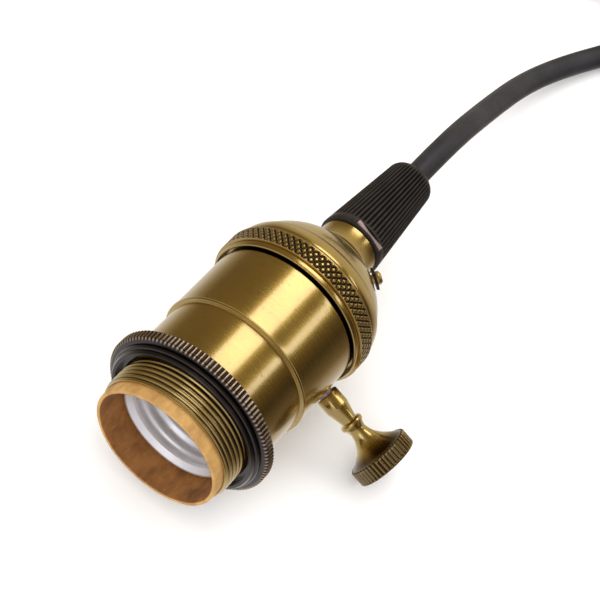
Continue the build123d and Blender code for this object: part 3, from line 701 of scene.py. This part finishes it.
def slot_cutters():
    """Cutters for the slot that the switch shaft slides in through: a round end and a way out."""
    half, low, high = SLOT_W / 2, 8.0, UPPER_R + 3
    outline = corners((low, 0), (low, half), (high, half), (high, 0))
    round_end = spin("cutter", outline, 48, closed=False, place=KNOB_PLACE)
    along = KNOB_DIRECTION
    across = along.cross(Vector((1, 0, 0)))
    axes = Matrix((Vector((1, 0, 0)), along, across)).transposed().to_4x4()
    place = AXIS @ Matrix.Translation((KNOB_X * MM, 0, 0)) @ axes
    way_out = box_piece("cutter", (0, low, -half), (SHELL_END_X - KNOB_X + 2, high, half), place)
    return round_end, way_out


def insulating_liner():
    """Fibre sleeve: slightly out of round at the mouth, with softened edges."""
    def wavy(x, r, turn):
        near_mouth = 1 - step_up(x, 1.0, 9.0)
        lift = near_mouth * (0.05 * np.sin(2 * turn + 0.8) + 0.035 * np.sin(5 * turn))
        # The bore is marked as recess, which the fibre paints browner as shade.
        return lift, 1 - step_up(r, LINER_BORE_R + 0.02, LINER_BORE_R + 0.25)

    outline = spaced(rounded(
        (0.0, LINER_BORE_R, 0.22), (0.0, LINER_R, 0.3),
        (LINER_END_X, LINER_R, 0.1), (LINER_END_X, LINER_BORE_R, 0.1),
    ), 2.0)
    liner = cut(spin("made_insulating_liner", outline, 128, wavy), *slot_cutters())
    return dress(liner, FIBRE, "vulcanised_fibre", "holder", "insulating_liner")


def outer_shell():
    """Brass shell with its thread, two body diameters, bead, necked end and shaft slot."""
    skin, inner = THREAD_ROOT_R, LINER_R + 0.1
    outline = spaced(rounded(
        (SHELL_MOUTH_X, inner, 0.1), (SHELL_MOUTH_X, skin, 0.2),
        (SHOULDER_X, skin, 0.2), (SHOULDER_X, LOWER_R, 0.45),
        (BEAD_X - 0.15, LOWER_R, 0.05), (BEAD_X, UPPER_R + 0.15, 0.25), (BEAD_X + 0.6, UPPER_R + 0.2, 0.25),
        (BEAD_X + 0.8, UPPER_R, 0.15),
        (UPPER_END_X, UPPER_R, 0.4), (UPPER_END_X + 0.4, NECKED_R, 0.3), (SHELL_END_X, NECKED_R, 0.1),
        (SHELL_END_X, NECKED_R - SHEET, 0.1), (UPPER_END_X - 0.2, NECKED_R - SHEET, 0.3),
        (UPPER_END_X - 0.8, UPPER_R - SHEET, 0.3), (BEAD_X + 0.9, UPPER_R - SHEET, 0.3),
        (BEAD_X + 0.2, LOWER_R - SHEET, 0.3), (SHOULDER_X + SHEET, LOWER_R - SHEET, 0.3),
        (SHOULDER_X + 0.3, inner, 0.3),
    ), 1.5)
    outline = spaced(outline, THREAD_PITCH / 12, window=(SHELL_MOUTH_X, SHOULDER_X, skin - 0.05))
    shell = cut(spin("made_outer_shell", outline, 192, shade_thread, sharp=45), *slot_cutters(), sharp=45)
    return dress(shell, BRASS, "antique_brass", "holder", "outer_shell")


def straight_knurl(teeth, above, depth, width=0.46):
    """Relief of straight grooves on whatever stands above a radius; the rest is half in patina."""
    def relief(x, r, turn):
        notch = groove(teeth * turn / (2 * pi), width) * (r > above)
        return -depth * notch, np.where(r > above, notch, 0.5)
    return relief


def shade_ring():
    """Threaded ring: two rounded ridges, a smooth face and a knurled rim."""
    outline = spaced(rounded(
        (11.2, 19.5, 0.1), (9.55, 19.6, 0.1), (9.55, 20.5, 0.3), (10.35, 20.95, 0.3), (10.6, 20.45, 0.15),
        (10.85, 21.35, 0.3), (11.45, 21.6, 0.25), (11.75, 21.15, 0.1), (11.9, 22.4, 0.15), (12.15, 23.0, 0.2),
        (12.45, RING_R, 0.2), (14.75, RING_R, 0.2), (14.95, 22.9, 0.1), (14.95, 18.4, 0.2), (11.2, 18.4, 0.1),
    ), 0.6)
    knurl = straight_knurl(RING_TEETH, 22.95, 0.30)
    ring = spin("made_shade_ring", outline, RING_TEETH * 8, knurl)
    return dress(ring, BRONZE, "dark_bronze", "shade_ring", "shade_ring")


LAMP_PITCH = 3.62            # Edison thread


def screw_shell():
    """Rolled aluminium lamp shell with its Edison thread pressed into the wall."""
    def thread(x, r, turn):
        on = step_up(x, 10.0, 11.8) * (1 - step_up(x, 25.6, 27.0)) * (r < 14.5)
        return on * 0.55 * np.cos(2 * pi * (x / LAMP_PITCH - turn / (2 * pi))), 0.0

    outline = spaced(rounded(
        (9.0, 13.5, 0.3), (7.8, 14.75, 0.25), (7.8, 15.4, 0.25), (9.35, 15.4, 0.4), (9.35, 14.2, 0.2),
        (9.7, 14.1, 0.3), (27.5, 14.1, 0.5), (30.4, 13.6, 0.4), (30.4, 9.4, 0.2), (29.6, 9.4, 0.2),
        (29.6, 12.7, 0.5), (27.2, 13.3, 0.5), (9.6, 13.3, 0.5),
    ), 0.3)
    shell = spin("made_screw_shell", outline, 160, thread, sharp=60)
    return dress(shell, ALUMINIUM, "aluminium_sheet", "holder", "screw_shell")


def clamp_ring():
    """Ring with a smooth lip, its inner faces painted dark as shade, and a band of diamond knurling."""
    diamonds, row, low, high = 75, 2.1, 52.5, 56.7

    def knurl(x, r, turn):
        on = (r > 22.0) * (x > low) * (x < high)
        around, along = diamonds * turn / (2 * pi), (x - low) / row
        notch = on * np.maximum(groove(around + along, 0.30), groove(around - along, 0.30))
        # Painted shade: the lip's inner faces, over the gap to the shell, are marked fully dark.
        inner = (r < 21.0) * (x < low)
        return -0.45 * notch, np.maximum(np.clip(1.3 * notch, 0, 1), inner)

    outline = spaced(rounded(
        (50.7, 20.85, 0.1), (50.7, 21.5, 0.35), (52.15, 21.55, 0.3), (52.3, 21.2, 0.1), (52.4, 22.25, 0.15),
        (56.8, 22.25, 0.15), (56.9, 21.3, 0.1), (57.05, 21.8, 0.2), (57.6, 21.75, 0.15), (57.6, 20.6, 0.1),
        (52.4, 20.6, 0.1),
    ), 0.7)
    outline = spaced(outline, 0.16, window=(low - 0.1, high + 0.1, 22.0))
    ring = spin("made_clamp_ring", outline, diamonds * 12, knurl, sharp=50)
    return dress(ring, BRASS, "antique_brass", "holder", "clamp_ring")


def cap():
    """Spun cap: shoulder, creased dome with a thin line of painted shade in its crease, and neck."""
    shoulder, crease = (61.1, 20.85), (61.45, 20.35)
    dome, neck = (71.4, 11.9), (75.0, NECK_R)
    outline = [
        *corners((53.2, 19.7), (53.2, 20.5), (57.6, 20.5), (57.6, 21.6)),
        *arc((57.7, 21.65), (59.5, 21.4), shoulder, 4),
        *corners(shoulder, (shoulder[0] + 0.05, shoulder[1] - 0.2)),
        *arc(crease, (66.8, 17.0), dome, 14),
        *arc(dome, (72.6, 9.8), neck),
        *corners(neck, (NECK_END_X - 0.2, NECK_R), (NECK_END_X, NECK_R - 0.2), (NECK_END_X, 5.0)),
        *corners((71.0, 5.0), (71.0, 9.0), (69.4, 11.6), (65.9, 16.2), (61.5, 19.2), (57.2, 19.7)),
    ]

    # Painted shade: a thin dark line along the crease between the shoulder and the dome.
    def crease_painted_shade(x, r, turn):
        return 0.0, 0.9 * (np.abs(x - 61.3) < 0.2) * (r > 20.0)

    cap_piece = spin("made_cap", outline, 192, crease_painted_shade, sharp=35)
    return dress(cap_piece, BRASS, "antique_brass", "holder", "cap")


def turn_knob():
    """Turned knob: barrel, neck, bead, concave flare and a knurled, darkened rim."""
    base, tip, rim, rim_r, teeth = 21.2, 44.3, 40.0, 8.35, 46
    foot, flare_rise, flare_steps = (31.7, 2.1), 5.35, 13

    def finish(x, r, turn):
        on = (r > 7.6) * (x > rim - 0.05) * (x < tip - 0.35)
        notch = groove(teeth * turn / (2 * pi), 0.42) * on
        shade = 0.9 * step_up(x, 36.8, 39.3)
        crest = (1 - notch) * (r > rim_r - 0.05)
        return -0.35 * notch, np.maximum(shade, notch) - 0.35 * crest

    flare = []
    for step in range(1, flare_steps + 1):
        t = step / flare_steps
        flare.append(Vector((foot[0] + (rim - foot[0]) * t ** 0.72, foot[1] + flare_rise * t ** 1.75)))
    outline = [
        *corners((base, 0.0), (base, 2.9), (base + 0.2, 3.1), (25.2, 3.1)),
        *arc((25.2, 3.1), (25.6, 3.04), (26.0, 2.92), 3),
        *corners((26.0, 2.92), (29.6, 2.07)),
        *arc((29.8, 2.1), (30.7, 3.15), (31.6, 2.15), 8),
        *flare,
        *corners((rim, rim_r - 0.35), (rim + 0.3, rim_r)),
        *[Vector((rim + 0.3 + (tip - 0.8 - rim) * k / 5, rim_r)) for k in range(1, 6)],
        *arc((tip - 0.5, rim_r), (tip - 0.15, rim_r - 0.15), (tip, rim_r - 0.5), 4),
        *corners((tip, rim_r - 0.5), (tip, rim_r - 2.0), (tip - 0.15, 3.0), (tip - 0.15, 0.0)),
    ]
    knob = spin("made_turn_knob", outline, teeth * 8, finish, closed=False, place=KNOB_PLACE, sharp=45)
    return dress(knob, KNOB_BRASS, "antique_brass", "knob", "turn_knob")


# ---- grip and small parts ----------------------------------------------------------------
PLATE_X, PLATE_W, PLATE_TURN, PLATE_HIGH = (80.1, 81.4), 9.4, 116.0, 8.2


def on_grip(turn):
    """Frame on the socket axis, turned so that its Y axis points to a side of the grip."""
    return AXIS @ Matrix.Rotation(radians(turn), 4, "X")


def cord_grip():
    """Ribbed, tapered grip with a smooth collar, a round tip and a slot for its plate."""
    ribs, tip_r, round_x = 44, GRIP_TIP_R, GRIP_END - 2.6

    def ribbed(x, r, turn):
        on = step_up(x, GRIP_START + 2.3, GRIP_START + 3.1) * (1 - step_up(x, round_x - 0.3, round_x + 1.3))
        # The rib grooves are marked as recess, which the grip's material paints dark as shade.
        notch = on * groove(ribs * turn / (2 * pi), 0.45) * (r > 5.2)
        return -0.34 * notch, notch

    bore = CORD_R + 0.1
    outline = spaced([
        *corners((72.8, bore), (72.8, 4.95), (79.4, 4.95), (GRIP_START, GRIP_BASE_R - 0.25)),
        *corners((GRIP_START + 0.25, GRIP_BASE_R), (GRIP_START + 2.3, GRIP_BASE_R - 0.15)),
        *corners((GRIP_START + 3.1, GRIP_BASE_R - 0.22), (round_x - 0.3, tip_r + 0.02)),
        *arc((round_x, tip_r), (GRIP_END - 0.75, tip_r - 0.8), (GRIP_END, tip_r - 2.4), 9),
        *corners((GRIP_END, tip_r - 2.4), (GRIP_END, bore)),
    ], 1.2)
    grip = spin("made_cord_grip", outline, ribs * 8, ribbed, sharp=50)
    half, gap = PLATE_W / 2, 0.05
    low, high = (PLATE_X[0] - gap, 4.45, -half), (PLATE_X[1] + gap, 12, half)
    slot = box_piece("cutter", low, high, on_grip(PLATE_TURN))
    return dress(cut(grip, slot, sharp=50), GRIP, "grip_plastic", "holder", "cord_grip")


def lock_plate():
    """Zinc-plated plate in the grip's slot, with eased edges."""
    half = PLATE_W / 2 - 0.1
    low, high = (PLATE_X[0], 4.55, -half), (PLATE_X[1], PLATE_HIGH, half)
    plate = box_piece("made_lock_plate", low, high, on_grip(PLATE_TURN), 0.2)
    return dress(plate, ZINC, "zinc_plated_steel", "holder", "grip_lock_plate")


EARTH_X, EARTH_R, EARTH_LEAN, EARTH_TURN = 69.9, 14.0, 48.0, -213.0
WASHER_LIFT, WASHER_T = 0.35, 0.8


def on_dome(height):
    """Frame on the dome with its X axis along the earth screw, a height above the seat."""
    turn, lean = radians(EARTH_TURN), radians(EARTH_LEAN)
    spoke = Vector((0, cos(turn), sin(turn)))
    normal = Vector((1, 0, 0)) * sin(lean) + spoke * cos(lean)
    seat = Vector((EARTH_X, 0, 0)) + spoke * EARTH_R + normal * height
    return AXIS @ Matrix.Translation(seat * MM) @ normal.to_track_quat("X", "Z").to_matrix().to_4x4()


def earth_screw():
    """Small pan-head screw with a slot."""
    top = 1.3
    outline = [
        *corners((-4.3, 0.0), (-4.3, 1.0), (-4.0, 1.25), (0.0, 1.25), (0.0, 1.75), (0.5, 1.75)),
        *arc((0.5, 1.75), (top - 0.25, 1.35), (top, 0.6), 6),
        *corners((top, 0.6), (top, 0.0)),
    ]
    screw = spin("made_earth_screw", outline, 48, closed=False, place=on_dome(WASHER_LIFT + WASHER_T))
    slot = box_piece("cutter", (0.7, -2.5, -0.25), (2.0, 2.5, 0.25), on_dome(WASHER_LIFT + WASHER_T))
    return dress(cut(screw, slot), CONTACT, "contact_brass", "holder", "earth_screw")


def earth_washer():
    """Cupped washer with a toothed rim."""
    def teeth(x, r, turn):
        notch = groove(12 * turn / (2 * pi), 0.5) * (r > 2.2)
        return -0.5 * notch, 0.6 * notch

    outline = spaced(rounded(
        (0.05, 1.3, 0.1), (0.0, 2.9, 0.15), (WASHER_T, 3.0, 0.2), (WASHER_T - 0.35, 2.3, 0.1),
        (WASHER_T - 0.05, 1.3, 0.1),
    ), 0.3)
    washer = spin("made_earth_washer", outline, 12 * 10, teeth, place=on_dome(WASHER_LIFT))
    return dress(washer, BLACKENED, "blackened_steel", "holder", "earth_washer")


def inner_cores():
    """Sheathed end inside the grip and the three cores that fan out to their terminals."""
    start = 72.5                 # where the sheath ends
    tilt = KNOB_DIRECTION.angle(Vector((0, -1, 0)))
    roll = Matrix.Rotation(tilt, 4, "X")

    def at(x, y, z):
        return AXIS @ roll @ (Vector((x, y, z)) * MM)

    middle_line = [at(x, 0, 0) for x in (start, 90.0, GRIP_END)]
    held = spline_piece("made_cord_in_grip", middle_line, CORD_R * MM, SHEATH)
    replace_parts(held, "cord_in_grip")
    screw_turn = radians(EARTH_TURN) - tilt
    earth = [(start, -1.9, 0.0), (69.0, -1.9, 0.0)]
    for x, reach in ((66.0, 5.5), (64.8, 9.2)):
        earth.append((x, reach * cos(screw_turn), reach * sin(screw_turn)))
    rows = ((1, "live_core", BROWN, "core_brown"), (-1, "neutral_core", BLUE, "core_blue"))
    for side, name, material, slot in rows:
        route = [(start, 1.0, side * 1.6), (68.0, 1.0, side * 1.6)]
        route += [(63.0, 7.0, side * 4.0), (57.6, 11.2, side * 5.0)]
        wire = spline_piece("made_" + name, [at(*point) for point in route], CORE_R, material)
        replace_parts(wire, name)
    wire = spline_piece("made_earth_core", [at(*point) for point in earth], CORE_R, STRIPED)
    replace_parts(wire, "earth_core")


# ---- floor and light ---------------------------------------------------------------------
def towards(direction, distance=0.7):
    """Place of a lamp in a direction from the middle of the holder."""
    middle = Vector((0.0, AXIS_Y, AXIS_Z))
    return middle + Vector(direction).normalized() * distance, middle


def panel(name, direction, size, radiance, colour=(1, 1, 1)):
    """Soft rectangular lamp of an even brightness, facing the holder."""
    place, middle = towards(direction)
    data = bpy.data.lights.new(name, "AREA")
    data.shape = "RECTANGLE"
    data.size, data.size_y = size
    data.energy = radiance * pi * size[0] * size[1]
    data.color = colour
    lamp = bpy.data.objects.new(name, data)
    bpy.context.scene.collection.objects.link(lamp)
    lamp.location = place
    lamp.rotation_euler = (middle - place).to_track_quat("-Z", "Y").to_euler()


def soft_sun(name, direction, strength, spread):
    """Very wide sun that lights the matt surfaces and isn't seen in the metal."""
    data = bpy.data.lights.new(name, "SUN")
    data.energy = strength
    data.angle = radians(spread)
    lamp = bpy.data.objects.new(name, data)
    bpy.context.scene.collection.objects.link(lamp)
    lamp.rotation_euler = (-Vector(direction)).to_track_quat("-Z", "Y").to_euler()
    lamp.visible_glossy = False


def floor():
    """Pale studio floor, left out of the metal's reflections, where the world stands for it."""
    bpy.ops.mesh.primitive_plane_add(size=6.0, location=(0, 0, 0))
    plane = bpy.context.object
    plane.name = "floor"
    plane.visible_glossy = False
    material, tree, shader = new_material("pale_floor")
    cloud = noise(tree, coordinates(tree, (6.0, 6.0, 6.0)), detail=2.0)
    colour = ramp(tree, cloud, (0.3, (0.93, 0.935, 0.95)), (0.7, (0.95, 0.955, 0.97)))
    tree.links.new(colour, shader.inputs["Base Color"])
    shader.inputs["Roughness"].default_value = 0.9
    plane.data.materials.append(material)


def studio_world():
    """Surroundings: a pale floor, a dark horizon, a dim warm room above, and pale ends."""
    world = bpy.data.worlds.new("studio")
    bpy.context.scene.world = world
    world.use_nodes = True
    tree = world.node_tree
    direction = tree.nodes.new("ShaderNodeTexCoord").outputs["Generated"]
    split = tree.nodes.new("ShaderNodeSeparateXYZ")
    tree.links.new(direction, split.inputs["Vector"])
    height = between(tree, split.outputs["Z"], 0.0, 1.0, -1.0, 1.0)
    far_side = ramp(
        tree, height, (0.0, (0.95, 0.93, 0.90)), (0.22, (0.70, 0.66, 0.60)), (0.36, (0.36, 0.30, 0.20)),
        (0.48, (0.19, 0.14, 0.075)), (0.75, (0.21, 0.155, 0.075)), (1.0, (0.26, 0.20, 0.12)),
    )
    near_side = ramp(
        tree, height, (0.0, (0.95, 0.93, 0.90)), (0.14, (0.62, 0.56, 0.50)), (0.28, (0.20, 0.155, 0.10)),
        (0.50, (0.045, 0.035, 0.026)), (0.66, (0.13, 0.09, 0.045)), (1.0, (0.24, 0.18, 0.10)),
    )
    side = between(tree, split.outputs["Y"], 0.0, 1.0, -0.35, 0.25)
    room = blended(tree, side, near_side, far_side)
    behind = between(tree, split.outputs["X"], 0.0, 1.0, 0.66, 0.84)
    room = blended(tree, behind, room, (0.66, 0.60, 0.47))
    before = between(tree, split.outputs["X"], 0.0, 1.0, -0.25, -0.60)
    room = blended(tree, before, room, (0.60, 0.59, 0.62))
    tree.links.new(room, tree.nodes["Background"].inputs["Color"])
    tree.nodes["Background"].inputs["Strength"].default_value = 1.0


def studio():
    """A bank over the holder, a strip on the knob's side, one in front, and soft sun for the rest."""
    bpy.context.scene.view_settings.view_transform = "Standard"
    studio_world()
    panel("overhead", (0.56, 0.0, 0.83), (0.40, 0.24), 2.7, (1.0, 0.98, 0.95))
    panel("side_strip", (0.56, -0.62, 0.56), (0.24, 0.11), 2.2)
    panel("front", (-0.80, 0.05, 0.60), (0.40, 0.30), 1.0)
    soft_sun("sky", (-0.35, 0.0, 1.0), 3.6, 165)


# ---- scene -------------------------------------------------------------------------------
CAD_MATERIALS = {
    "antique_brass": BRASS, "dark_bronze": BRONZE, "vulcanised_fibre": FIBRE,
    "aluminium_sheet": ALUMINIUM, "contact_brass": CONTACT, "porcelain": PORCELAIN,
    "black_phenolic": PHENOLIC, "zinc_plated_steel": ZINC, "blackened_steel": BLACKENED,
    "grip_plastic": GRIP, "cord_sheath": SHEATH, "tie_fabric": STRAP,
    "core_brown": BROWN, "core_blue": BLUE, "core_green_yellow": STRIPED,
}


def dress_cad_nodes():
    """Materials on the CAD nodes, by the record's slots."""
    for row in frame["record"]["subparts"]:
        node = frame["nodes"][row["node"]]
        node.data.materials.clear()
        node.data.materials.append(CAD_MATERIALS[row["material_slot"]])


place_camera()
dress_cad_nodes()
make_cord()
insulating_liner()
outer_shell()
shade_ring()
screw_shell()
clamp_ring()
cap()
turn_knob()
cord_grip()
lock_plate()
earth_washer()
earth_screw()
inner_cores()
floor()
studio()
